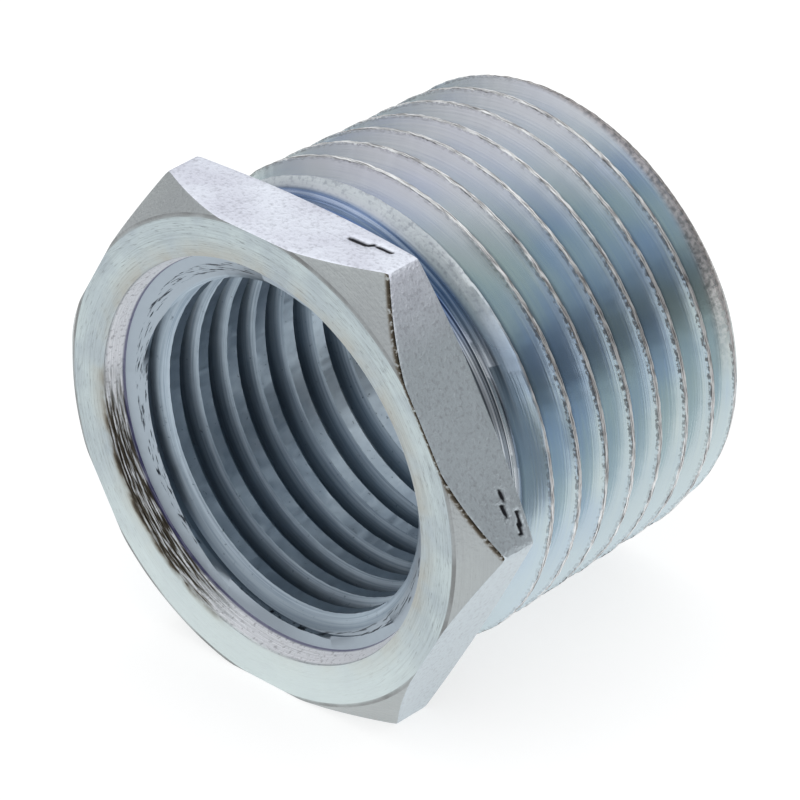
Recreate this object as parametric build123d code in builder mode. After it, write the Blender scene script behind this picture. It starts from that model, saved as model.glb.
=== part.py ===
from build123d import *
import os
from math import atan, degrees, radians, tan

os.makedirs("parts", exist_ok=True)

# Hexagon reducing bushing, turned from one piece of hex bar. A tapered male pipe thread screws into
# the larger port, and the bore takes the smaller pipe. All sizes are in millimetres.
#
# The bushing's axis is Y. The flat ring of the hex end lies on y = 0 and the male thread points
# along +Y. Two flats of the hex are level, so the part lies on the lower one.

# Hex head
across_flats = 17.0
head_height = 2.7
face_ring_diameter = 17.25      # flat ring that the front corner chamfer leaves
front_chamfer_height = 1.13     # how far the front chamfer runs down each corner
rear_ring_diameter = 17.1       # the same on the thread side
rear_chamfer_height = 0.27

# Male thread: 3/8 inch pipe, 19 turns to the inch, 55 degree Whitworth form, taper of 1 in 16
overall_length = 14.3
threads_per_inch = 19
pitch = 25.4 / threads_per_inch
thread_half_angle = 27.5
thread_depth = 0.640327 * pitch
thread_flat = pitch / 6         # flat left on each crest
thread_taper = 1 / 16           # change of diameter with length
gauge_diameter = 16.662
gauge_length = 6.4              # from the small end of the thread back to the gauge diameter
top_crest_depth = 4.49          # where a crest crosses the line above the axis
tip_diameter = 15.85
tip_chamfer_length = 0.6

# Relief neck between the head and the thread
neck_diameter = 15.0
neck_length = 1.15
neck_fillet = 0.2
shoulder_angle = 45             # run-up from the neck to the crests, from the axis

# Bore for the 1/4 inch pipe thread, at the diameter of that thread's crests
bore_diameter = 11.89
mouth_diameter = 14.33
recess_diameter = 14.03
recess_depth = 0.69
seat_half_angle = 73            # cone between the recess and the bore, from the axis
outlet_diameter = 13.3
outlet_half_angle = 45

cut_clearance = 0.3             # how far a cutting solid stands out of the metal
head_clearance = 0.1            # between the thread's groove and the back of the head


def crest_radius(depth):
    """Radius of the male thread's crest cone at a distance from the hex end face."""
    past_gauge = overall_length - gauge_length - depth
    return (gauge_diameter + past_gauge * thread_taper) / 2


corner_radius = across_flats / 3**0.5
neck_radius = neck_diameter / 2
neck_end = head_height + neck_length
tip_start = overall_length - tip_chamfer_length

# The shoulder ends where it is as wide as the crest cone.
shoulder_rise = crest_radius(neck_end) - neck_radius
shoulder_end = neck_end + shoulder_rise / (tan(radians(shoulder_angle)) + thread_taper / 2)

seat_drop = (recess_diameter - bore_diameter) / 2
seat_end = recess_depth + seat_drop / tan(radians(seat_half_angle))
outlet_drop = (outlet_diameter - bore_diameter) / 2
outlet_start = overall_length - outlet_drop / tan(radians(outlet_half_angle))

# %% Groove between the crests of the male thread, swept along a conical helix about +Y
crest_half_width = (pitch - thread_flat) / 2
root_half_width = crest_half_width - thread_depth * tan(radians(thread_half_angle))
groove_start = head_height + crest_half_width + head_clearance
groove_end = overall_length + crest_half_width + cut_clearance
# The helix begins above the axis, and is then turned until its crests pass through top_crest_depth.
groove_turn = 360 * (groove_start - (top_crest_depth - pitch / 2)) / pitch

with BuildPart() as thread_groove:
    with BuildLine() as groove_path:
        helix = Helix(
            pitch,
            groove_end - groove_start,
            crest_radius(groove_start),
            center=(0, groove_start, 0),
            direction=(0, 1, 0),
            cone_angle=-degrees(atan(thread_taper / 2)),
        )
    helix_start = helix @ 0
    outward = Vector(helix_start.X, 0, helix_start.Z)
    section_plane = Plane(origin=helix_start, x_dir=outward, z_dir=outward.cross(Vector(0, 1, 0)))
    with BuildSketch(section_plane) as groove_section:
        with BuildLine():
            Polyline(
                (cut_clearance, -crest_half_width),
                (0, -crest_half_width),
                (-thread_depth, -root_half_width),
                (-thread_depth, root_half_width),
                (0, crest_half_width),
                (cut_clearance, crest_half_width),
                close=True,
            )
        make_face()
    sweep(path=helix, is_frenet=True)

# %% The bushing
with BuildPart() as bushing:
    # Hex bar
    with BuildSketch(Plane.ZX) as bar_section:
        RegularPolygon(across_flats / 2, 6, major_radius=False, rotation=30)
    extrude(amount=head_height)

    # Corner chamfers, turned on both sides of the head
    with BuildSketch(Plane.XY) as head_envelope:
        with BuildLine():
            Polyline(
                (0, 0),
                (face_ring_diameter / 2, 0),
                (corner_radius, front_chamfer_height),
                (corner_radius, head_height - rear_chamfer_height),
                (rear_ring_diameter / 2, head_height),
                (0, head_height),
                close=True,
            )
        make_face()
    revolve(axis=Axis.Y, mode=Mode.INTERSECT)

    # Neck and the tapered blank of the thread, rooted in the head
    with BuildSketch(Plane.XY) as shank_section:
        with BuildLine():
            Polyline(
                (0, head_height / 2),
                (neck_radius, head_height / 2),
                (neck_radius, neck_end),
                (crest_radius(shoulder_end), shoulder_end),
                (crest_radius(tip_start), tip_start),
                (tip_diameter / 2, overall_length),
                (0, overall_length),
                close=True,
            )
        make_face()
    revolve(axis=Axis.Y)

    # Fillet in the corner between the head and the neck
    rings = bushing.edges().filter_by(GeomType.CIRCLE)
    neck_ring = rings.filter_by(lambda ring: abs(ring.radius - neck_radius) < 0.001).sort_by(Axis.Y)[0]
    fillet(neck_ring, neck_fillet)

    # Bore with its recessed mouth, seat cone and outlet chamfer
    with BuildSketch(Plane.XY) as bore_section:
        with BuildLine():
            Polyline(
                (0, -cut_clearance),
                (mouth_diameter / 2, -cut_clearance),
                (mouth_diameter / 2, 0),
                (recess_diameter / 2, recess_depth),
                (bore_diameter / 2, seat_end),
                (bore_diameter / 2, outlet_start),
                (outlet_diameter / 2, overall_length),
                (outlet_diameter / 2, overall_length + cut_clearance),
                (0, overall_length + cut_clearance),
                close=True,
            )
        make_face()
    revolve(axis=Axis.Y, mode=Mode.SUBTRACT)

    # Male thread
    add(thread_groove.part.rotate(Axis.Y, groove_turn), mode=Mode.SUBTRACT)

bushing.part.label = "bushing"
export_step(bushing.part, "parts/bushing.step")
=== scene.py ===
# %% [markdown]
# # A hex bushing in zinc-plated steel
#
# A reducing bushing joins a small pipe to a larger port. It is turned from hexagon bar: the bar's
# own flats stay on the head for the spanner, and everything else is cut by tools that go round the
# axis. Then it is plated with zinc and dipped in a pale blue passivation.
#
# The frame holds the bushing as plain solid steel. This script makes the piece that the eye sees:
# it cuts the thread inside the bore, tears the crests a little as a die does, and gives each
# surface the finish that its own tool left.

# %% Load the frame
from math import atan2, ceil, cos, floor, pi, radians, sin, tan

import bmesh
import bpy
import numpy as np
from mathutils import Matrix, Vector, noise


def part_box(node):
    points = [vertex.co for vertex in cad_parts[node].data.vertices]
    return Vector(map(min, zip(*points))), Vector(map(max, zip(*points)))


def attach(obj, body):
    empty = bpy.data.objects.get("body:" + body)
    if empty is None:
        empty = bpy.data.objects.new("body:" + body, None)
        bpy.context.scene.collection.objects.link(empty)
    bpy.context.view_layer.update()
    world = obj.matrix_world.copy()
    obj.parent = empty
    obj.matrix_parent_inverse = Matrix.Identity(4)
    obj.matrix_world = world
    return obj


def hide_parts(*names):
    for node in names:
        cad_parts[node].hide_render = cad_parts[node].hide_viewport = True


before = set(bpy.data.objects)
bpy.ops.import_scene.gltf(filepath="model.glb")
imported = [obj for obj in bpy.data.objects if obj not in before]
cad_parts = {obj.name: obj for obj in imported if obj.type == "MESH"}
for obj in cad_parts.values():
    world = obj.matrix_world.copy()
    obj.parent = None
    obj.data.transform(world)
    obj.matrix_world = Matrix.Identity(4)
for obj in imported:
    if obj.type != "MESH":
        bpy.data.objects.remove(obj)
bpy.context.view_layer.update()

# %% [markdown]
# ## Sizes
#
# Blender works in metres here, and a thread is easier to think of in millimetres. So every size is
# written in millimetres, and is multiplied by one number when it reaches a mesh. The bar and the
# length are read from the frame's box. The rest are the sizes that a machinist would be given.

# %% Sizes of the bushing
MM = 0.001

low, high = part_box("bushing")
across_flats = (high[2] - low[2]) / MM
overall_length = high[1] / MM
small_end = overall_length - 0.001      # a micrometre inside the box
corner_radius = across_flats / 3**0.5

head_height = 2.7
face_ring_radius = 8.625
front_chamfer_height = 1.13
rear_ring_radius = 8.55
rear_chamfer_height = 0.27
neck_radius = 7.5
neck_end = 4.0
shoulder_slope = tan(radians(55))
mouth_radius = 7.165
recess_radius = 6.95
recess_depth = 0.80

pitch = 25.4 / 19               # both threads have 19 turns to the inch
flank_angle = 27.5              # half of the 55 degrees between two flanks
standard_flat = pitch / 6       # where the pointed form is cut off, at crest and root
full_depth = 0.640327 * pitch

print(f"hexagon {across_flats:.2f} mm across flats, {overall_length:.2f} mm long, pitch {pitch:.4f} mm")

# %% [markdown]
# ## The camera
#
# A small part looks calm and true when it is seen from far away through a long lens, because near
# and far edges then have almost the same scale. The camera is placed by its own angles: how far it
# has swung round the part, how high it looks from, and how much it leans. After that it is moved
# back along its view, and a little sideways and up, to frame the part.

# %% Camera
camera_azimuth = radians(44.09)     # from -Y towards +X
camera_elevation = radians(31.34)
camera_roll = radians(-0.95)
camera_distance = 225.33            # from the centre of the hex end, along the view
camera_shift_right = 4.54           # of that centre, seen from the middle of the frame
camera_shift_up = 2.02
lens_length = 314.6
sensor_width = 36

forward = Vector((
    -sin(camera_azimuth) * cos(camera_elevation),
    cos(camera_azimuth) * cos(camera_elevation),
    -sin(camera_elevation),
))
level_right = Vector((cos(camera_azimuth), sin(camera_azimuth), 0))
level_up = level_right.cross(forward)
right = level_right * cos(camera_roll) + level_up * sin(camera_roll)
up = right.cross(forward)

camera_data = bpy.data.cameras.new("camera")
camera_data.lens = lens_length
camera_data.sensor_width = sensor_width
camera_data.clip_start = 10 * MM
camera = bpy.data.objects.new("camera", camera_data)
place = right * camera_shift_right + up * camera_shift_up - forward * camera_distance
turned = Matrix((right, up, -forward)).transposed().to_4x4()
camera.matrix_world = Matrix.Translation(place * MM) @ turned
bpy.context.scene.collection.objects.link(camera)
bpy.context.scene.camera = camera
print("camera at", [round(value, 4) for value in camera.location])

# %% [markdown]
# ## Helpers
#
# A few helpers serve the whole script. The first turns a colour that a person can look up, written
# as sRGB hex, into the linear values that a shader works in. The next two add a node to any tree,
# set its properties, and fill its inputs with links, plain values or colours. What comes back is
# the first output that is in use, because the next node nearly always wants that one.
#
# Inputs are filled by name, or by number where a node has several inputs of one name. Five kinds of
# node are needed again and again, so each has a short helper of its own: arithmetic, a change of
# range, noise, one colour over another, and a value turned into a colour.

# %% Helpers
def linear_colour(colour):
    """Turn an sRGB colour such as "C8D2D0" into linear values. What is no text stays as it is."""
    if not isinstance(colour, str):
        return colour
    channels = [int(colour[start:start + 2], 16) / 255 for start in (0, 2, 4)]
    return [c / 12.92 if c <= 0.04045 else ((c + 0.055) / 1.055) ** 2.4 for c in channels] + [1]


def fill(tree, socket, value):
    """Link an input to another node's output, or give it a plain value or a colour."""
    if isinstance(value, bpy.types.NodeSocket):
        tree.links.new(value, socket)
    else:
        socket.default_value = linear_colour(value)


def add_node(tree, kind, inputs=None, **settings):
    """Add a node to a tree, set it up, fill its inputs, and return its first live output."""
    node = tree.nodes.new(kind)
    for name, value in settings.items():
        setattr(node, name, value)
    for key, value in (inputs or {}).items():
        fill(tree, node.inputs[key], value)
    return next((output for output in node.outputs if output.enabled), node)


def compute(tree, operation, *values):
    """Reckon with one, two or three values."""
    return add_node(tree, "ShaderNodeMath", dict(enumerate(values)), operation=operation)


def rescale(tree, value, start=0, end=1, first=0, last=1):
    """Carry a value that runs from start to end over to first to last, and hold it at both ends."""
    return add_node(tree, "ShaderNodeMapRange", {
        "Value": value, "From Min": start, "From Max": end, "To Min": first, "To Max": last})


def speckle(tree, place, grain_width, detail):
    """Noise with grains of a given width."""
    return add_node(tree, "ShaderNodeTexNoise", {
        "Vector": place, "Scale": 1 / grain_width, "Detail": detail})


def mix(tree, share, under, over):
    """Lay one colour over another, by a share from 0 to 1."""
    return add_node(tree, "ShaderNodeMix", {0: share, 6: under, 7: over}, data_type="RGBA")


def ramp(tree, value, stops):
    """Turn a value from 0 to 1 into a colour. Each stop is a place and the colour there."""
    colour = add_node(tree, "ShaderNodeValToRGB", {"Fac": value})
    elements = colour.node.color_ramp.elements
    for number, (position, stop) in enumerate(stops.items()):
        element = elements[number] if number < len(elements) else elements.new(position)
        element.position = position
        element.color = linear_colour(stop)
    return colour


# %% [markdown]
# ## Floor and light
#
# Bare metal shows its surroundings more than its own colour. In a light tent it sees white nearly
# everywhere, and it would look like flat grey paint. So in a studio, grey cards stand round a metal
# part: where a surface mirrors a card it goes dark, and its form shows. The floor is white paper,
# the world is a white tent and one soft lamp hangs above. A round wall of grey card fades from dark
# at the floor to white at its top, and is darker still on one side. Only reflections show it.

# %% Floor
floor_size = 3.0
floor_glow = 0.68               # lifts the lit paper to white, and leaves the shadow on it

paper = bpy.data.materials.new("white paper")
paper.use_nodes = True
paper.node_tree.nodes.clear()
diffuse = add_node(paper.node_tree, "ShaderNodeBsdfDiffuse", {"Color": "ABACAC"})
glow = add_node(paper.node_tree, "ShaderNodeEmission", {"Strength": floor_glow})
both = add_node(paper.node_tree, "ShaderNodeAddShader", {0: diffuse, 1: glow})
add_node(paper.node_tree, "ShaderNodeOutputMaterial", {"Surface": both})

bpy.ops.mesh.primitive_plane_add(size=floor_size, location=(0, 0, low[2]))
floor_plane = bpy.context.object
floor_plane.name = "floor"
floor_plane.data.materials.append(paper)
print("floor at", round(low[2] / MM, 2), "mm")

# %% World and lamp
bpy.context.scene.view_settings.view_transform = "Standard"
world = bpy.data.worlds.new("white tent")
world.use_nodes = True
bpy.context.scene.world = world
world.node_tree.nodes["Background"].inputs["Color"].default_value = (1, 1, 1, 1)
world.node_tree.nodes["Background"].inputs["Strength"].default_value = 1.0

lamp_size = 0.22                # metres along each side
lamp_power = 0.05               # watts
lamp_place = Vector((-0.10, 0.06, 0.30))

lamp_data = bpy.data.lights.new("soft lamp", "AREA")
lamp_data.shape = "SQUARE"
lamp_data.size = lamp_size
lamp_data.energy = lamp_power
lamp = bpy.data.objects.new("soft lamp", lamp_data)
lamp.location = lamp_place
lamp.rotation_euler = (-lamp_place).to_track_quat("-Z", "Y").to_euler()
bpy.context.scene.collection.objects.link(lamp)
print("lamp", lamp_power, "W at", [round(value, 2) for value in lamp.location])

# %% Grey wall
wall_radius = 0.4
wall_sides = 72
wall_top = 30                   # degrees above the floor, seen from the part
wall_fade = {0: 0.43, 5: 0.45, 12: 0.64, 20: 0.80, 30: 1.0}     # degrees above the floor, brightness
wall_blue = 1.02                # the card is a touch bluer than grey
dark_side = Vector((0.77, 0.64))        # where a darker card stands before the wall
dark_side_edges = 0.6, 0.9              # how squarely it is faced where it starts, and where it is full
dark_side_share = 0.64                  # how much of the wall's light it takes


def grey_wall():
    """A round wall that fades to the tent's white at its top, seen only in reflections."""
    wall_height = wall_radius * tan(radians(wall_top))
    turns = [2 * pi * side / wall_sides for side in range(wall_sides)]
    rim = [(wall_radius * cos(turn), wall_radius * sin(turn)) for turn in turns]
    corners = [(x, y, low[2]) for x, y in rim] + [(x, y, low[2] + wall_height) for x, y in rim]
    sheets = []
    for side in range(wall_sides):
        beside = (side + 1) % wall_sides
        sheets.append((side, beside, wall_sides + beside, wall_sides + side))
    mesh = bpy.data.meshes.new("grey wall")
    mesh.from_pydata(corners, [], sheets)
    wall = bpy.data.objects.new("grey-wall", mesh)
    bpy.context.scene.collection.objects.link(wall)

    material = bpy.data.materials.new("fading grey card")
    material.use_nodes = True
    tree = material.node_tree
    tree.nodes.clear()
    seen = add_node(tree, "ShaderNodeTexCoord").node.outputs["Object"]
    height = add_node(tree, "ShaderNodeSeparateXYZ", {0: seen}).node.outputs["Z"]
    share = rescale(tree, height, low[2], low[2] + wall_height)
    stops = {}
    for degrees_up, brightness in wall_fade.items():
        position = tan(radians(degrees_up)) / tan(radians(wall_top))
        stops[position] = (brightness, brightness, brightness * wall_blue, 1)
    fade = ramp(tree, share, stops)
    towards = (dark_side.x / wall_radius, dark_side.y / wall_radius, 0)
    facing = add_node(tree, "ShaderNodeVectorMath", {0: seen, 1: towards}, operation="DOT_PRODUCT")
    strength = rescale(tree, facing, dark_side_edges[0], dark_side_edges[1], 1, 1 - dark_side_share)
    glow = add_node(tree, "ShaderNodeEmission", {"Color": fade, "Strength": strength})
    add_node(tree, "ShaderNodeOutputMaterial", {"Surface": glow})
    mesh.materials.append(material)
    wall.visible_camera = False
    wall.visible_diffuse = False
    wall.visible_shadow = False


grey_wall()
print("grey wall up to", wall_top, "degrees")

# %% [markdown]
# ## A thread as a Geometry Nodes tree
#
# A screw thread is one groove that follows a helix, so a rule describes it better than any modelled
# mesh could. The tree below starts from a flat grid. One direction of the grid goes once round the
# part, and the other goes along the thread, eight rows to a turn: crest, flank, root, flank. Each
# point slides forward by one pitch per lap, so every row lies exactly on a crest, a flank or a root,
# and the end of each row meets the start of the next one.
#
# Where the slanted rows would leave the thread, they are held at its first or last ring. All those
# points fall together and are merged, which leaves a plain ring that other parts can join. The same
# tree makes both threads: the side is 1 for the male thread and -1 for the female one. Last, noise
# eats into the crests a little, as a cutting tool tears them.

# %% The thread tree
rows_per_pitch = 8
tear_fade = 0.3                 # length over which the torn metal fades out towards a ring
tear_reach = 0.3                # how far down the flank it goes, as a share of the depth
merge_gap = 0.001               # points of the grid closer than this become one

thread_inputs = {
    "NodeSocketInt": ("Columns", "First Lap", "Laps"),
    "NodeSocketFloat": (
        "Pitch", "Start", "End", "Top Crest", "Side", "Crest Radius", "Taper", "Depth", "Half Crest",
        "Half Root", "Start Radius", "Start Slope", "End Radius", "End Slope", "Tear", "Tear Grain",
    ),
    "NodeSocketMaterial": ("Material",),
}


def thread_tree():
    """Build the tree that makes a sleeve with a thread on it. Lengths are in metres."""
    tree = bpy.data.node_groups.new("pipe thread", "GeometryNodeTree")
    for kind, names in thread_inputs.items():
        for name in names:
            tree.interface.new_socket(name, in_out="INPUT", socket_type=kind)
    tree.interface.new_socket("Geometry", in_out="OUTPUT", socket_type="NodeSocketGeometry")
    given = tree.nodes.new("NodeGroupInput").outputs

    # The grid: x runs from 0 to 1 round the part, y counts the pitches along it.
    more_columns = compute(tree, "ADD", given["Columns"], 1)
    rows = compute(tree, "MULTIPLY_ADD", given["Laps"], rows_per_pitch, 1)
    grid = add_node(tree, "GeometryNodeMeshGrid", {
        "Size X": 1, "Size Y": given["Laps"], "Vertices X": more_columns, "Vertices Y": rows})
    spot = add_node(tree, "ShaderNodeSeparateXYZ", {0: add_node(tree, "GeometryNodeInputPosition")}).node
    turn = compute(tree, "ADD", spot.outputs["X"], 0.5)
    half_way = compute(tree, "MULTIPLY", given["Laps"], 0.5)
    lap = compute(tree, "ADD", spot.outputs["Y"], half_way)
    whole_lap = compute(tree, "FLOOR", lap)
    part_lap = compute(tree, "SUBTRACT", lap, whole_lap)
    row = compute(tree, "MULTIPLY", part_lap, rows_per_pitch)

    # Rows are spread over half a crest, a flank, a root, a flank and the other half crest.
    flats = compute(tree, "ADD", given["Half Crest"], given["Half Root"])
    flank = compute(tree, "SUBTRACT", 0.5, flats)
    root = compute(tree, "MULTIPLY", given["Half Root"], 2)
    half_crest = given["Half Crest"]
    reach = compute(tree, "ADD", whole_lap, given["First Lap"])
    bands = ((0, 1, half_crest), (1, 3, flank), (3, 5, root), (5, 7, flank), (7, 8, half_crest))
    for first, last, width in bands:
        stretch = rescale(tree, row, first, last, last=width)
        reach = compute(tree, "ADD", reach, stretch)

    # Place along the axis, held between the first and the last ring.
    pitches = compute(tree, "ADD", reach, turn)
    slanted = compute(tree, "MULTIPLY_ADD", pitches, given["Pitch"], given["Top Crest"])
    along = add_node(tree, "ShaderNodeClamp", {
        "Value": slanted, "Min": given["Start"], "Max": given["End"]})
    from_start = compute(tree, "SUBTRACT", along, given["Start"])
    to_end = compute(tree, "SUBTRACT", given["End"], along)

    # How deep in the groove a point is: 0 on a crest, 1 in a root.
    past_crest = compute(tree, "SUBTRACT", along, given["Top Crest"])
    turns_past = compute(tree, "DIVIDE", past_crest, given["Pitch"])
    phase = compute(tree, "SUBTRACT", turns_past, turn)
    nearest = compute(tree, "ROUND", phase)
    gap = compute(tree, "SUBTRACT", phase, nearest)
    from_crest = compute(tree, "ABSOLUTE", gap)
    root_edge = compute(tree, "SUBTRACT", 0.5, given["Half Root"])
    groove = rescale(tree, from_crest, half_crest, root_edge)

    # Radius, counted outwards on the male side and inwards on the female side.
    narrowing = compute(tree, "MULTIPLY", from_start, given["Taper"])
    crest = compute(tree, "SUBTRACT", given["Crest Radius"], narrowing)
    sided = compute(tree, "MULTIPLY", crest, given["Side"])
    cut = compute(tree, "MULTIPLY", groove, given["Depth"])
    reach_out = compute(tree, "SUBTRACT", sided, cut)
    for edge, distance in (("Start", from_start), ("End", to_end)):
        cone = compute(tree, "MULTIPLY_ADD", distance, given[edge + " Slope"], given[edge + " Radius"])
        cone_sided = compute(tree, "MULTIPLY", cone, given["Side"])
        reach_out = compute(tree, "MINIMUM", reach_out, cone_sided)

    # Torn metal: a crest is nibbled away by noise, which fades out at both rings.
    angle = compute(tree, "MULTIPLY", turn, 2 * pi)
    sine = compute(tree, "SINE", angle)
    cosine = compute(tree, "COSINE", angle)
    size = compute(tree, "ABSOLUTE", reach_out)
    clean_x = compute(tree, "MULTIPLY", size, sine)
    clean_z = compute(tree, "MULTIPLY", size, cosine)
    clean = add_node(tree, "ShaderNodeCombineXYZ", {"X": clean_x, "Y": along, "Z": clean_z})
    rough = add_node(tree, "ShaderNodeTexNoise", {
        "Vector": clean, "Scale": given["Tear Grain"], "Detail": 3})
    bite = rescale(tree, rough, 0.42, 0.72)
    at_crest = rescale(tree, groove, 0, tear_reach, 1, 0)
    fade_in = rescale(tree, from_start, 0, tear_fade * MM)
    fade_out = rescale(tree, to_end, 0, tear_fade * MM)
    torn = compute(tree, "MULTIPLY", bite, given["Tear"])
    for share in (at_crest, fade_in, fade_out):
        torn = compute(tree, "MULTIPLY", torn, share)
    bitten = compute(tree, "SUBTRACT", reach_out, torn)
    radius = compute(tree, "ABSOLUTE", bitten)

    # Roll the grid up, merge the points that fall together, and give it its material.
    final_x = compute(tree, "MULTIPLY", radius, sine)
    final_z = compute(tree, "MULTIPLY", radius, cosine)
    final = add_node(tree, "ShaderNodeCombineXYZ", {"X": final_x, "Y": along, "Z": final_z})
    rolled = add_node(tree, "GeometryNodeSetPosition", {"Geometry": grid, "Position": final})
    merged = add_node(tree, "GeometryNodeMergeByDistance", {
        "Geometry": rolled, "Distance": merge_gap * MM})
    real = add_node(tree, "GeometryNodeRealizeInstances", {"Geometry": merged})
    covered = add_node(tree, "GeometryNodeSetMaterial", {"Geometry": real, "Material": given["Material"]})
    add_node(tree, "NodeGroupOutput", {"Geometry": covered})
    return tree


thread = thread_tree()
print("the thread tree has", len(thread.nodes), "nodes")

# %% [markdown]
# ## Cutting a thread
#
# A modifier's inputs are set by the identifiers of its sockets, and before the object is evaluated
# for the first time. The evaluated object is then read back as a plain mesh, and the helper object
# with its modifier is thrown away.

# %% Cut a thread
columns = 480


def cut_thread(material, start, end, top_crest, values):
    """Return the plain mesh of one threaded sleeve between two rings. Lengths are in millimetres."""
    first_lap = floor((start - top_crest) / pitch) - 1
    laps = ceil((end - top_crest) / pitch) - first_lap
    lengths = {"Pitch": pitch, "Start": start, "End": end, "Top Crest": top_crest, **values["lengths"]}
    settings = {"Columns": columns, "First Lap": first_lap, "Laps": laps, "Material": material}
    settings.update({name: float(length * MM) for name, length in lengths.items()})
    settings.update({name: float(number) for name, number in values["numbers"].items()})

    blank = bpy.data.objects.new("sleeve", bpy.data.meshes.new("sleeve"))
    bpy.context.scene.collection.objects.link(blank)
    modifier = blank.modifiers.new("thread", "NODES")
    modifier.node_group = thread
    for socket in thread.interface.items_tree:
        if socket.in_out == "INPUT":
            modifier[socket.identifier] = settings[socket.name]
    evaluated = blank.evaluated_get(bpy.context.evaluated_depsgraph_get())
    mesh = bpy.data.meshes.new_from_object(evaluated)
    bpy.data.objects.remove(blank)
    return mesh

# %% [markdown]
# ## Finishes
#
# Zinc plate is nearly silver grey. The passivation over it is a clear film, a few hundred atoms
# thick, and it gives the metal a breath of blue, lilac or sea green, as oil does on water. What
# changes from surface to surface is mostly the texture under the plate. The bar's flats are drawn
# and pickled, so they are matt and speckled. Turned faces carry fine rings. Flanks are burnished by
# the die and show long streaks, and crests are torn and dull.
#
# All the finishes read Object coordinates in millimetres, so a grain of 0.1 mm is written as 0.1.

# %% What every finish shares
def new_metal(name):
    """Start a metal material, and return its tree and its main shader."""
    material = bpy.data.materials.new(name)
    material.use_nodes = True
    shader = material.node_tree.nodes["Principled BSDF"]
    shader.inputs["Metallic"].default_value = 1
    return material, material.node_tree, shader


def coat(tree, shader, colour, roughness, relief, strength, distance):
    """Give a metal its colour, its roughness and its bumps, whose depth is in millimetres."""
    normal = add_node(tree, "ShaderNodeBump", {
        "Height": relief, "Strength": strength, "Distance": distance * MM})
    for name, value in (("Base Color", colour), ("Roughness", roughness), ("Normal", normal)):
        fill(tree, shader.inputs[name], value)


def round_the_axis(tree):
    """Object coordinates in millimetres, and split into x, depth y, z and the radius from the axis."""
    seen = add_node(tree, "ShaderNodeTexCoord").node.outputs["Object"]
    place_mm = add_node(tree, "ShaderNodeVectorMath", {0: seen, 3: 1 / MM}, operation="SCALE")
    parts = add_node(tree, "ShaderNodeSeparateXYZ", {0: place_mm}).node.outputs
    flat = add_node(tree, "ShaderNodeCombineXYZ", {"X": parts["X"], "Z": parts["Z"]})
    radius = add_node(tree, "ShaderNodeVectorMath", {0: flat}, operation="LENGTH")
    return place_mm, parts["X"], parts["Y"], parts["Z"], radius


def tool_rings(tree, place_mm, across, ring_width, drift):
    """Noise in bands across one coordinate, as tool marks are, that drifts slowly along them."""
    fine = compute(tree, "DIVIDE", across, ring_width)
    slow = add_node(tree, "ShaderNodeVectorMath", {0: place_mm, 3: 1 / drift}, operation="SCALE")
    both = add_node(tree, "ShaderNodeVectorMath", {0: fine, 1: slow}, operation="ADD")
    return add_node(tree, "ShaderNodeTexNoise", {"Vector": both, "Scale": 1, "Detail": 4})


# %% [markdown]
# ### Drawn flats
#
# The flats of the bar are as the drawing die left them. Pickling before the plating etches them, so
# they are matt, with shallow pits a little over a tenth of a millimetre wide. The punch marks that
# come later press an attribute named "dent" into the mesh, and the dent is painted nearly black: the
# dark of the stamp, with painted shade in its groove. The flats lower on the part are painted
# greyer, as painted shade.

# %% Drawn flats
def zinc_on_drawn_flats():
    """Matt grey zinc with a breath of lilac, fine etched grain, and painted shade on low flats and in
    dents.
    """
    material, tree, shader = new_metal("zinc on drawn flats")
    place_mm, _, _, height, _ = round_the_axis(tree)
    cloud_width = 2.2           # slow changes in the plate
    pit_width = 0.13
    grain_width = 0.07

    cloud = speckle(tree, place_mm, cloud_width, 6)
    pits = speckle(tree, place_mm, pit_width, 5)
    grain = speckle(tree, place_mm, grain_width, 2)
    tint = ramp(tree, cloud, {0.35: "DADDE9", 0.62: "E9EEF8"})

    # Painted shade: the flats lower on the part are painted greyer than the top one, as they face away from
    # the light.
    low_down = rescale(tree, height, 8.3, 6.0)
    greyed = mix(tree, low_down, tint, "C6D0D6")
    pit_mask = rescale(tree, pits, 0.50, 0.72, last=0.36)
    pitted = mix(tree, pit_mask, greyed, "85868F")
    # The punch marks are painted nearly black: the dark of the stamp, with painted shade in the groove.
    dent = add_node(tree, "ShaderNodeAttribute", attribute_name="dent").node.outputs["Fac"]
    dent_mask = rescale(tree, dent, 0.25, 0.7)
    colour = mix(tree, dent_mask, pitted, "2B2C30")
    roughness = rescale(tree, cloud, first=0.32, last=0.44)
    relief = compute(tree, "MULTIPLY_ADD", grain, 0.5, pits)
    coat(tree, shader, colour, roughness, relief, strength=0.6, distance=0.035)
    return material


# %% [markdown]
# ### Turned faces
#
# The end faces and the chamfers are turned. The tool leaves rings, which are drawn here 0.07 mm
# apart, coarser than the real ones, so that they show. Handling and dirt come on top: one edge of
# the hexagon is scuffed, dirt has caught on one side of the mouth, and the wall of the recess has a
# chalky bloom, which is no metal any more and is painted nearly white as a painted reflection. The
# face is painted paler low down, as a painted reflection of the floor, and the inner corner of the
# recess is painted dark violet, as painted shade.

# %% Turned faces
worn_edge_angle = radians(60)       # the flat whose front edge is scuffed, from +Z towards +X
worn_edge_width = 0.16
dirty_side_angle = radians(-125)    # the side of the mouth where dirt has caught


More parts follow.
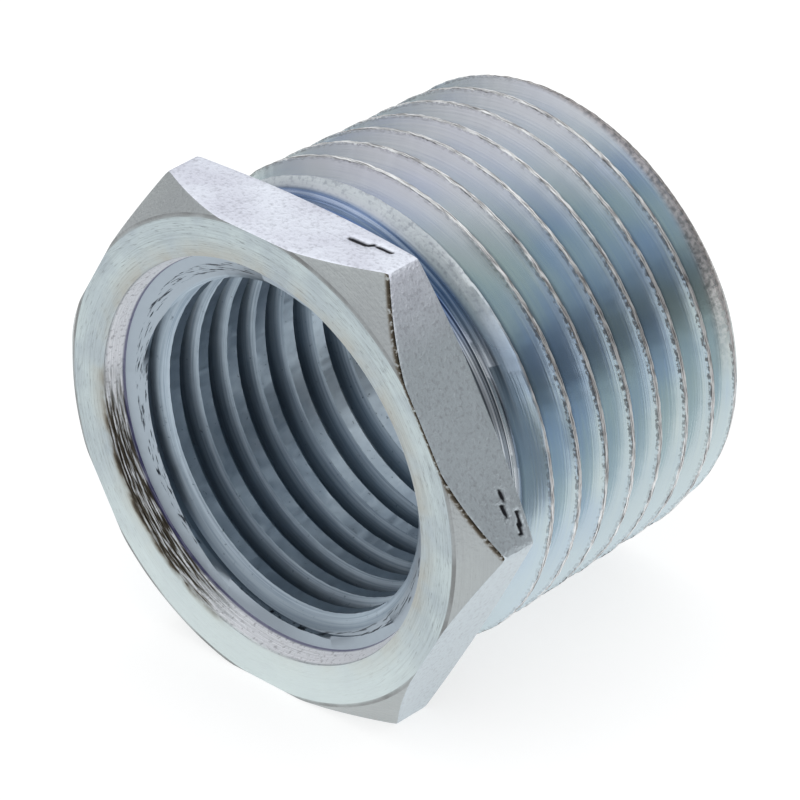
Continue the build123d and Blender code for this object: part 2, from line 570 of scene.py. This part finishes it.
def zinc_on_turned_faces():
    """Blue-grey zinc with fine rings, grey chamfers, a scuffed edge, a dirty mouth, and painted reflection
    and shade.
    """
    material, tree, shader = new_metal("zinc on turned faces")
    place_mm, _, depth, height, radius = round_the_axis(tree)
    ring_width, ring_drift = 0.07, 2.0          # across the tool's rings, and along them
    score_width, score_length = 0.07, 0.28      # short scratches that follow the rings
    crust_width, crust_length = 0.12, 0.8       # flakes of dirt in the mouth
    stain_width = 1.6
    scratch_width = 0.14
    run_off_width = 0.07                        # half of the dull band where the tool left the face

    across = compute(tree, "ADD", radius, depth)
    rings = tool_rings(tree, place_mm, across, ring_width, ring_drift)
    stain = speckle(tree, place_mm, stain_width, 7)
    scratch = speckle(tree, place_mm, scratch_width, 5)
    tint = ramp(tree, stain, {0.36: "ADB8BE", 0.60: "BECACC"})
    ring_mask = rescale(tree, rings, 0.45, 0.72, last=0.5)
    ringed = mix(tree, ring_mask, tint, "8B9396")
    scores = tool_rings(tree, place_mm, across, score_width, score_length)
    score_mask = rescale(tree, scores, 0.58, 0.72, last=0.7)
    scored = mix(tree, score_mask, ringed, "747A7E")

    # A dull, faintly brown stain creeps out from the mouth.
    close_to_mouth = rescale(tree, radius, 7.95, 7.25)
    creeping = rescale(tree, stain, 0.40, 0.58, 0.05, 0.6)
    stain_mask = compute(tree, "MULTIPLY", close_to_mouth, creeping)
    stained = mix(tree, stain_mask, scored, "A39E94")

    # Painted reflection: the face is painted paler low down, where it mirrors the white floor.
    low_down = rescale(tree, height, -2.5, -7.5, last=0.8)
    paled = mix(tree, low_down, stained, "D9E4E4")

    # The chamfers are duller than the face, and most of all where the tool ran off the face.
    on_chamfer = rescale(tree, radius, face_ring_radius - 0.12, face_ring_radius - 0.03, last=0.75)
    chamfered = mix(tree, on_chamfer, paled, "A6A9AA")
    off_edge = compute(tree, "COMPARE", radius, face_ring_radius - 0.03, run_off_width)
    band = rescale(tree, stain, 0.35, 0.6, 0.15, 0.7)
    band_mask = compute(tree, "MULTIPLY", off_edge, band)
    dulled = mix(tree, band_mask, chamfered, "6A6A6A")

    # A scuffed edge beside one flat, and dirt on one side of the mouth. Both are broken up by noise.
    in_front = compute(tree, "LESS_THAN", depth, head_height)
    flat_normal = (sin(worn_edge_angle), 0, cos(worn_edge_angle))
    towards_flat = add_node(tree, "ShaderNodeVectorMath", {0: place_mm, 1: flat_normal},
        operation="DOT_PRODUCT")
    near_edge = rescale(tree, towards_flat, across_flats / 2 - worn_edge_width, across_flats / 2 - 0.02)
    scuffed = rescale(tree, scratch, 0.34, 0.5, last=0.95)
    scuff_mask = compute(tree, "MULTIPLY", near_edge, scuffed)
    side_normal = (sin(dirty_side_angle), 0, cos(dirty_side_angle))
    towards_side = add_node(tree, "ShaderNodeVectorMath", {0: place_mm, 1: side_normal},
        operation="DOT_PRODUCT")
    dirty_side = rescale(tree, towards_side, 5.2, 6.9)
    near_mouth = rescale(tree, radius, 7.42, 7.16)
    in_mouth = compute(tree, "MULTIPLY", near_mouth, in_front)
    crust = tool_rings(tree, place_mm, depth, crust_width, crust_length)
    caught = rescale(tree, crust, 0.30, 0.68)
    dirty_mouth = compute(tree, "MULTIPLY", dirty_side, in_mouth)
    dirt_mask = compute(tree, "MULTIPLY", dirty_mouth, caught)
    grime = compute(tree, "MAXIMUM", scuff_mask, dirt_mask)
    grime_tint = mix(tree, grime, "7D7567", "26221F")
    cover = rescale(tree, grime, 0, 0.5)
    dirty = mix(tree, cover, dulled, grime_tint)

    # A chalky bloom on the wall of the recess, painted nearly white as a painted reflection of the light
    # outside the mouth. Its inner corner is painted dark violet, as painted shade.
    inside = rescale(tree, radius, mouth_radius + 0.02, mouth_radius - 0.03)
    on_wall = compute(tree, "MULTIPLY", inside, in_front)
    chalk = compute(tree, "SUBTRACT", 1, cover)
    bloom = compute(tree, "MULTIPLY", on_wall, chalk)
    crazing = rescale(tree, scratch, 0.54, 0.68, last=0.45)
    chalk_tint = mix(tree, crazing, "EDEFF4", "6C6A70")
    bloomed = mix(tree, bloom, dirty, chalk_tint)
    metallic = rescale(tree, bloom, first=1, last=0.1)
    tree.links.new(metallic, shader.inputs["Metallic"])
    # Painted shade: the inner corner of the recess is painted dark violet.
    innermost = rescale(tree, radius, recess_radius + 0.04, recess_radius + 0.02, last=0.85)
    corner = compute(tree, "MULTIPLY", innermost, in_front)
    colour = mix(tree, corner, bloomed, "54547A")
    roughness = rescale(tree, grime, first=0.36, last=0.65)
    coarseness = rescale(tree, on_chamfer, first=0.8, last=3.5)
    relief = compute(tree, "MULTIPLY_ADD", scratch, coarseness, rings)
    coat(tree, shader, colour, roughness, relief, strength=0.5, distance=0.04)
    return material


# %% [markdown]
# ### The neck
#
# The neck behind the head is cut with a narrow tool that leaves coarse rings. At the top of the
# part the rings run from navy to pale blue, and the navy is painted shade from the head and the
# thread beside it. Lower down the rings are painted grey, from dark to pale.

# %% The neck's finish
def neck_film(tree, place_mm, depth, height):
    """Rings from navy, painted shade, to pale blue at the top of the part, and grey lower down. Returns
    colour, rings.
    """
    ring_width, ring_drift = 0.15, 9.0          # across the rings, and along them
    rings = tool_rings(tree, place_mm, depth, ring_width, ring_drift)
    film = ramp(tree, rings, {0.40: "293A59", 0.54: "6480AC", 0.70: "B4C3DE"})
    bare = ramp(tree, rings, {0.42: "454C52", 0.60: "D2D6D9"})
    # Painted shade: navy at the top of the part, where the head and the thread shade the neck; grey lower
    # down.
    below = rescale(tree, height, 6.2, 4.6, last=0.9)
    colour = mix(tree, below, film, bare)
    return colour, rings


def zinc_on_the_neck():
    """Strongly ringed zinc behind the head."""
    material, tree, shader = new_metal("ringed zinc on the neck")
    place_mm, _, depth, height, _ = round_the_axis(tree)
    colour, rings = neck_film(tree, place_mm, depth, height)
    coat(tree, shader, colour, 0.28, rings, strength=0.8, distance=0.06)
    return material


# %% [markdown]
# ### The male thread
#
# A die cuts and rubs the flanks in one pass, so they are smooth, with fine streaks along the groove.
# The film over them is blue at the sides. It is painted paler lilac at the top and pale low down,
# as painted reflections of the white tent and floor, and darker in the roots, as painted shade. The
# crests are where the metal tore: thin lines, bright where they are rubbed, dark in the tears, and
# with dark burrs along one edge that are deepened with painted shade. Those lines need a coordinate
# of their own, which says how far a point lies from the crest that winds past it: its turn round the
# axis is taken from its depth, counted in pitches, and what is left over from a whole number is the
# distance.

# %% The male thread's finish
gauge_radius = 16.662 / 2
gauge_depth = overall_length - 6.4
thread_taper = 1 / 16


def crest_radius(depth):
    """Radius of the male thread's crests at a distance from the hex end."""
    return gauge_radius + (gauge_depth - depth) * thread_taper / 2


male_top_crest = 4.49           # depth of the first crest at the top of the part
male_half_crest = 0.075         # the die leaves the crests sharper than the standard's flat
tip_chamfer_length = 0.6
thread_end = overall_length - tip_chamfer_length


def zinc_on_male_thread():
    """Blue-passivated zinc: streaked flanks, a pale shoulder, torn crests, a brownish tip, and painted
    reflection and shade.
    """
    material, tree, shader = new_metal("zinc on cut thread")
    place_mm, sideways, depth, height, radius = round_the_axis(tree)
    streak_width, streak_drift = 0.10, 3.5      # across the die's streaks, and along them
    ridge_width, ridge_length = 0.045, 0.55     # ridges and tears on the crests
    patch_width = 5.0                           # slow changes in the film
    tear_width = 0.15
    speck_width = 0.10
    torn_half_width, torn_fade = 0.085, 0.01    # the torn line, and how softly it ends
    # Burrs deepened with painted shade, beside each crest:
    burr_place, burr_half_width = -0.10, 0.03   # the dark burrs on the side of the head
    tip_fade = 0.1

    # How far a point lies under the crests, which the streaks follow round the part.
    cone = compute(tree, "MULTIPLY_ADD", depth, -thread_taper / 2, crest_radius(0))
    under = compute(tree, "SUBTRACT", cone, radius)
    streaks = tool_rings(tree, place_mm, under, streak_width, streak_drift)
    patch = speckle(tree, place_mm, patch_width, 2)
    mixed = compute(tree, "MULTIPLY_ADD", streaks, 0.3, patch)
    film = ramp(tree, mixed, {0.52: "A8BACC", 0.65: "B5C4CA", 0.78: "C0CCCC"})

    # Painted reflection: the film is painted paler lilac near the top of the part, where it mirrors the
    # tent, and pale low down, where it mirrors the floor.
    above = rescale(tree, height, 6.3, 8.3, last=0.85)
    upper = mix(tree, above, film, "CFCFD8")
    below = rescale(tree, height, 0.5, -5.0, last=0.8)
    flank_colour = mix(tree, below, upper, "D4E2E8")

    # Painted shade: the root of each groove is painted darker, where the flanks shade it.
    deep = rescale(tree, under, 0.74, 0.84, last=0.6)
    rooted = mix(tree, deep, flank_colour, "6F7C88")

    # The shoulder is pale near the top, where the thread starts, and its foot has the neck's rings.
    tear = speckle(tree, place_mm, tear_width, 5)
    speck = speckle(tree, place_mm, speck_width, 4)
    shoulder = compute(tree, "MULTIPLY_ADD", depth, shoulder_slope, neck_radius - neck_end * shoulder_slope)
    above_cone = compute(tree, "SUBTRACT", shoulder, radius)
    on_shoulder = rescale(tree, above_cone, 0.20, 0.05)
    outer = rescale(tree, radius, 7.80, 8.10, last=0.9)
    near_top = rescale(tree, height, 4.8, 6.6)
    outer_shoulder = compute(tree, "MULTIPLY", on_shoulder, outer)
    pale = compute(tree, "MULTIPLY", outer_shoulder, near_top)
    shoulder_tint = ramp(tree, tear, {0.34: "BCC3CA", 0.50: "D9E0E4"})
    ringed_film, _ = neck_film(tree, place_mm, depth, height)
    foot = rescale(tree, radius, 7.95, 7.85, last=0.9)
    on_foot = compute(tree, "MULTIPLY", on_shoulder, foot)
    footed = mix(tree, on_foot, rooted, ringed_film)
    shouldered = mix(tree, pale, footed, shoulder_tint)

    # How far a point lies from the middle of its crest, along the axis, in millimetres.
    angle = compute(tree, "ARCTAN2", sideways, height)
    advance = compute(tree, "MULTIPLY_ADD", depth, 1 / pitch, -male_top_crest / pitch)
    phase = compute(tree, "MULTIPLY_ADD", angle, -1 / (2 * pi), advance)
    nearest = compute(tree, "ROUND", phase)
    gap = compute(tree, "SUBTRACT", phase, nearest)
    across = compute(tree, "MULTIPLY", gap, pitch)

    # Torn metal on the crests: fine lines along the thread, bright ridges between dark tears.
    torn_lines = tool_rings(tree, place_mm, across, ridge_width, ridge_length)
    wander = compute(tree, "MULTIPLY_ADD", speck, 0.08, -0.04)
    off_line = compute(tree, "ADD", across, wander)
    from_line = compute(tree, "ABSOLUTE", off_line)
    on_line = rescale(tree, from_line, torn_half_width + torn_fade, torn_half_width - torn_fade)
    off_shoulder = compute(tree, "SUBTRACT", 1, on_shoulder)
    on_crest = compute(tree, "MULTIPLY", on_line, off_shoulder)
    crest_tint = ramp(tree, torn_lines, {0.42: "6A696B", 0.55: "F2F4F5"})
    side_from_above = rescale(tree, height, 7.5, 4.5)
    side_from_below = rescale(tree, height, -2.5, 1.0)
    at_side = compute(tree, "MULTIPLY", side_from_above, side_from_below)
    browning = compute(tree, "MULTIPLY", at_side, 0.4)
    browned = mix(tree, browning, crest_tint, "6F6B6A")
    crested = mix(tree, on_crest, shouldered, browned)
    # Dark burrs beside each crest, deepened with painted shade on the side of the head.
    beside_crest = compute(tree, "COMPARE", off_line, burr_place, burr_half_width)
    burr = rescale(tree, tear, 0.42, 0.56, last=0.8)
    burr_share = compute(tree, "MULTIPLY_ADD", at_side, 0.75, 0.25)
    burr_by_side = compute(tree, "MULTIPLY", burr, burr_share)
    burr_on_thread = compute(tree, "MULTIPLY", burr_by_side, off_shoulder)
    burr_mask = compute(tree, "MULTIPLY", beside_crest, burr_on_thread)
    burred = mix(tree, burr_mask, crested, "4B4A4B")

    # The chamfer at the tip is torn too, and brownish on its upper half.
    past_thread = rescale(tree, depth, thread_end, thread_end + tip_fade, last=0.8)
    upper_half = rescale(tree, height, 0.0, 3.5)
    on_tip = compute(tree, "MULTIPLY", past_thread, upper_half)
    tip_tint = ramp(tree, tear, {0.38: "6B6766", 0.60: "B3ADAC"})
    colour = mix(tree, on_tip, burred, tip_tint)
    dull = compute(tree, "MAXIMUM", on_crest, pale)
    roughness = rescale(tree, dull, first=0.26, last=0.50)
    rubbed = compute(tree, "MULTIPLY", tear, dull)
    relief = compute(tree, "MULTIPLY_ADD", streaks, 0.6, rubbed)
    coat(tree, shader, colour, roughness, relief, strength=0.3, distance=0.03)
    return material


# %% [markdown]
# ### The bore
#
# Little current reaches the inside of a bore in the plating bath, so the zinc there is thin and the
# steel shows through it as a darker slate. The tap leaves the same streaks as the die does. The
# roots of the thread are painted darker still, as painted shade.

# %% The bore's finish
bore_radius = 5.945
seat_back = 1.15                # depth at which the seat gives way to the thread
crack_radius = 6.42             # middle of the cracked ring on the seat
crack_half_width = 0.17


def zinc_in_the_bore():
    """Thin slate-blue zinc with small dark spots, painted shade in the roots, and a paler, cracked seat."""
    material, tree, shader = new_metal("thin zinc in the bore")
    place_mm, _, depth, _, radius = round_the_axis(tree)
    streak_width, streak_drift = 0.10, 3.0      # across the tap's streaks, and along them
    crack_width, crack_length = 0.09, 0.4
    spot_width = 0.16

    streaks = tool_rings(tree, place_mm, radius, streak_width, streak_drift)
    spots = speckle(tree, place_mm, spot_width, 4)
    film = ramp(tree, streaks, {0.36: "909FAD", 0.64: "B2C0CB"})
    spot_mask = rescale(tree, spots, 0.66, 0.76, last=0.6)
    spotted = mix(tree, spot_mask, film, "333B44")

    # Painted shade: the roots of the thread are painted darker.
    deep = rescale(tree, radius, 6.1, 6.45, last=0.75)
    rooted = mix(tree, deep, spotted, "727F8B")

    # The seat is paler, and its inner half is cracked where the tap first bit.
    on_seat = rescale(tree, radius, 6.0, 6.1)
    near_front = rescale(tree, depth, seat_back + 0.03, seat_back - 0.03)
    seat = compute(tree, "MULTIPLY", on_seat, near_front)
    seated = mix(tree, seat, rooted, "A3AEB8")
    cracks = tool_rings(tree, place_mm, radius, crack_width, crack_length)
    inner_half = compute(tree, "COMPARE", radius, crack_radius, crack_half_width)
    open_crack = rescale(tree, cracks, 0.54, 0.64)
    cracked_half = compute(tree, "MULTIPLY", inner_half, open_crack)
    crack_mask = compute(tree, "MULTIPLY", cracked_half, seat)
    colour = mix(tree, crack_mask, seated, "2E333B")
    roughness = rescale(tree, spots, first=0.26, last=0.46)
    relief = compute(tree, "MULTIPLY_ADD", crack_mask, -2, streaks)
    coat(tree, shader, colour, roughness, relief, strength=0.15, distance=0.01)
    return material


flats_zinc = zinc_on_drawn_flats()
turned_zinc = zinc_on_turned_faces()
neck_zinc = zinc_on_the_neck()
thread_zinc = zinc_on_male_thread()
bore_zinc = zinc_in_the_bore()
finishes = [flats_zinc, turned_zinc, neck_zinc, thread_zinc, bore_zinc]
print("finishes:", [material.name for material in finishes])

# %% [markdown]
# ## Both threads
#
# The male thread starts on the neck, where the blank climbs at 55 degrees, so its first crests are
# lower and wider than the rest. It ends in a small chamfer that cuts its last crest down. The female
# thread starts on the seat cone behind the recess.

# %% Male thread
tip_radius = 7.925
male_tear_depth, male_tear_width = 0.035, 0.35
tip_slope = (crest_radius(thread_end) - tip_radius) / tip_chamfer_length

male_mesh = cut_thread(thread_zinc, neck_end, small_end, male_top_crest, {
    "lengths": {
        "Crest Radius": crest_radius(neck_end), "Depth": full_depth,
        "Start Radius": neck_radius, "End Radius": tip_radius, "Tear": male_tear_depth,
    },
    "numbers": {
        "Side": 1, "Taper": thread_taper / 2, "Half Crest": male_half_crest / pitch,
        "Half Root": standard_flat / pitch / 2, "Start Slope": shoulder_slope, "End Slope": tip_slope,
        "Tear Grain": 1 / (male_tear_width * MM),
    },
})
print("male thread:", len(male_mesh.polygons), "faces")

# %% Female thread
thread_root_radius = 13.157 / 2
female_depth = thread_root_radius - bore_radius
female_half_root = standard_flat / pitch / 2
female_half_crest = 0.5 - female_half_root - female_depth * tan(radians(flank_angle)) / pitch
female_top_crest = 1.07         # depth of the first crest at the top of the part
female_tear_depth, female_tear_width = 0.02, 0.3
seat_slope = -tan(radians(73))  # the seat narrows steeply with depth
outlet_radius = 6.65
outlet_slope = tan(radians(45))

female_mesh = cut_thread(bore_zinc, recess_depth, small_end, female_top_crest, {
    "lengths": {
        "Crest Radius": bore_radius, "Depth": female_depth,
        "Start Radius": recess_radius, "End Radius": outlet_radius, "Tear": female_tear_depth,
    },
    "numbers": {
        "Side": -1, "Taper": 0, "Half Crest": female_half_crest, "Half Root": female_half_root,
        "Start Slope": seat_slope, "End Slope": -outlet_slope, "Tear Grain": 1 / (female_tear_width * MM),
    },
})
print("female thread:", len(female_mesh.polygons), "faces")

# %% [markdown]
# ## The head
#
# The head is a hexagon that was chamfered on a lathe, so it is neither a turned shape nor a plain
# prism. Going round the axis, the outline of the hexagon moves in and out, and the chamfer's cone
# meets it higher or lower. So each column of the mesh works out its own section, from the recess,
# across the face, over the chamfers and down to the neck, and then softens its corners.
#
# Softening is an average: a point takes the mean of the section a little before and after itself.
# On a straight stretch nothing changes, and at a corner it leaves a small round.

# %% Section of the head
corner_rounding = 0.2           # radius on the six long edges of the bar
point_nudge = 1e-9              # keeps two corners of a section at one place apart


def hexagon_radius(angle):
    """Distance from the axis to the bar's surface, with the long edges rounded."""
    from_flat = (angle + pi / 6) % (pi / 3) - pi / 6
    plain = across_flats / 2 / cos(from_flat)
    from_corner = pi / 6 - abs(from_flat)
    centre = (across_flats / 2 - corner_rounding) / cos(pi / 6)
    reach = centre * sin(from_corner)
    if reach >= corner_rounding:
        return plain
    rounded = centre * cos(from_corner) + (corner_rounding**2 - reach**2) ** 0.5
    return min(plain, rounded)


def head_section(angle):
    """Corners of the section at one angle, as radius, depth and how far each corner is softened."""
    bar = hexagon_radius(angle)
    drop = max(0, bar - face_ring_radius) / (corner_radius - face_ring_radius)
    rear_drop = max(0, bar - rear_ring_radius) / (corner_radius - rear_ring_radius)
    return np.array([
        (recess_radius, recess_depth, 0.0),
        (mouth_radius, 0, 0.06),
        (min(bar, face_ring_radius), 0, 0.10),
        (bar, drop * front_chamfer_height, 0.07),
        (bar, head_height - rear_drop * rear_chamfer_height, 0.05),
        (min(bar, rear_ring_radius), head_height, 0.05),
        (neck_radius, head_height, 0.18),
        (neck_radius, neck_end, 0.0),
    ])


section_rows = {
    "recess": 5, "face": 12, "front chamfer": 7, "flat": 15, "rear chamfer": 4, "rear face": 4, "neck": 12,
}
row_counts = list(section_rows.values())
taps = np.linspace(-1, 1, 9)                # where the average looks, as shares of the softening
tap_weights = 1 - np.abs(taps) * 0.8        # what is near the point counts most


def softened_section(angle):
    """Points along the section at one angle, close together near its corners."""
    corners = head_section(angle)
    steps = np.hypot(np.diff(corners[:, 0]), np.diff(corners[:, 1]))
    reached = np.concatenate(([0], np.cumsum(steps)))
    stations = [0.0]
    for start, step, count in zip(reached, steps, row_counts):
        even = np.arange(1, count + 1) / count
        eased = 0.5 - 0.5 * np.cos(pi * even)
        stations.extend(start + step * (0.5 * even + 0.5 * eased))
    stations = np.array(stations)
    spread = np.interp(stations, reached, corners[:, 2])
    near = np.minimum(np.min(np.abs(stations[:, None] - reached[None, :]), axis=1), spread)
    spread = np.maximum(spread - near * 0.5, 0)
    spread = np.minimum(spread, np.minimum(stations, reached[-1] - stations))
    samples = stations[:, None] + spread[:, None] * taps[None, :]
    places = reached + np.arange(len(reached)) * point_nudge
    radius = np.interp(samples, places, corners[:, 0]) @ tap_weights
    depth = np.interp(samples, places, corners[:, 1]) @ tap_weights
    return np.stack([radius, depth], axis=1) / tap_weights.sum()


angles = np.arange(columns) * 2 * pi / columns
sections = np.stack([softened_section(angle) for angle in angles])
print("head sections:", sections.shape)

# %% [markdown]
# ## Punch marks
#
# A machine or an inspector often leaves a few plain punch strokes on a flat. Each stroke is a short
# line on one flat. A point of the mesh that lies near the line is pressed in towards the axis, and
# remembers by how much, so that the finish can paint the dent dark, with painted shade in its
# groove. A little noise makes it ragged.

# %% Punch marks
dent_depth = 0.09
stroke_half_width = 0.11
flat_tolerance = 0.02           # only points this near to the flat's plane are pressed in
ragged_depth = 0.05             # how far the edge of a stroke wanders
ragged_grain = 6                # wanderings per millimetre
punch_strokes = {               # angle of the flat: strokes, each from and to (place along it, depth)
    0: (((2.40, 2.00), (3.15, 1.90)), ((3.15, 1.90), (3.25, 2.14)), ((3.45, 2.15), (4.05, 2.10))),
    60: (((2.95, 1.98), (3.85, 1.74)), ((3.75, 2.32), (4.5, 2.10))),
}


def dent_share(angle, radius, depth):
    """How deep a point of the head lies in a punch mark: 0 outside, 1 in its middle."""
    for flat_angle, strokes in punch_strokes.items():
        away = angle - radians(flat_angle)
        along = radius * sin(away)
        if abs(radius * cos(away) - across_flats / 2) > flat_tolerance:
            continue
        ragged = ragged_depth * noise.noise(
            Vector((along * ragged_grain, depth * ragged_grain, flat_angle)))
        for (from_along, from_depth), (to_along, to_depth) in strokes:
            run = Vector((to_along - from_along, to_depth - from_depth))
            offset = Vector((along - from_along, depth - from_depth))
            share = min(max(offset.dot(run) / run.length_squared, 0), 1)
            gap = (offset - run * share).length + ragged
            if gap < stroke_half_width:
                return min(1, 2 * (1 - gap / stroke_half_width))
    return 0


def pressed_in(angle, radius, depth, press):
    """Place of a point in metres, pressed towards the axis by a length in millimetres."""
    reach = (radius - press) * MM
    return (reach * sin(angle), depth * MM, reach * cos(angle))


print("punch strokes:", sum(len(strokes) for strokes in punch_strokes.values()))

# %% [markdown]
# ## One closed skin
#
# The head's sections and both threads are put into one bmesh. Their rings lie on the same points,
# so merging doubles sews them together. What stays open is the small end: one face per column joins
# its two rings and makes the flat end face. Then every normal is turned outwards.

# %% Join the skin
sewing_gap = 0.002              # points closer than this are one point
sliver_width = 0.0005           # faces thinner than this are dropped
end_wall = crest_radius(overall_length) - full_depth - outlet_radius     # thinnest wall at the small end


def put_mesh_in(shell, mesh, finish):
    """Add a plain mesh to the shell with one finish on all its faces."""
    known = len(shell.faces)
    shell.from_mesh(mesh)
    shell.faces.ensure_lookup_table()
    for face in shell.faces[known:]:
        face.material_index = finish
    bpy.data.meshes.remove(mesh)


shell = bmesh.new()
put_mesh_in(shell, male_mesh, finishes.index(thread_zinc))
put_mesh_in(shell, female_mesh, finishes.index(bore_zinc))

row_finish = []
for part, count in section_rows.items():
    finish = {"flat": flats_zinc, "neck": neck_zinc}.get(part, turned_zinc)
    row_finish.extend([finishes.index(finish)] * count)

dent_layer = shell.verts.layers.float.new("dent")
grid = []
for angle, section in zip(angles, sections):
    line = []
    for r, y in section:
        dent = dent_share(angle, r, y)
        point = shell.verts.new(pressed_in(angle, r, y, dent * dent_depth))
        point[dent_layer] = dent
        line.append(point)
    grid.append(line)
for column in range(columns):
    here, beside = grid[column], grid[(column + 1) % columns]
    for row, finish in enumerate(row_finish):
        face = shell.faces.new((here[row], here[row + 1], beside[row + 1], beside[row]))
        face.material_index = finish

bmesh.ops.remove_doubles(shell, verts=shell.verts, dist=sewing_gap * MM)
bmesh.ops.dissolve_degenerate(shell, edges=shell.edges, dist=sliver_width * MM)

# The two open rings at the small end, sorted by the column that each point belongs to.
open_points = [point for point in shell.verts if point.is_boundary]
outer_ring, inner_ring = {}, {}
for point in open_points:
    column = round((atan2(point.co.x, point.co.z) / (2 * pi)) % 1 * columns) % columns
    reach = np.hypot(point.co.x, point.co.z) / MM
    ring = outer_ring if reach > outlet_radius + end_wall / 2 else inner_ring
    ring[column] = point
for column in range(columns):
    beside = (column + 1) % columns
    face = shell.faces.new((outer_ring[column], outer_ring[beside], inner_ring[beside], inner_ring[column]))
    face.material_index = finishes.index(turned_zinc)
bmesh.ops.recalc_face_normals(shell, faces=shell.faces)
still_open = sum(not edge.is_manifold for edge in shell.edges)
print("open points closed:", len(open_points), "; edges still open:", still_open)

# %% The finished piece
sharp_angle = radians(34)       # a sharper turn than this between two faces stays a crisp edge

skin = bpy.data.meshes.new("plated bushing")
shell.to_mesh(skin)
shell.free()
for material in finishes:
    skin.materials.append(material)
skin.shade_smooth()
skin.set_sharp_from_angle(angle=sharp_angle)
bushing = bpy.data.objects.new("plated-bushing", skin)
bpy.context.scene.collection.objects.link(bushing)
triangles = sum(len(face.vertices) - 2 for face in skin.polygons)
print("plated bushing:", len(skin.polygons), "faces,", triangles, "triangles")

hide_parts("bushing")
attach(bushing, "root")

# %% [markdown]
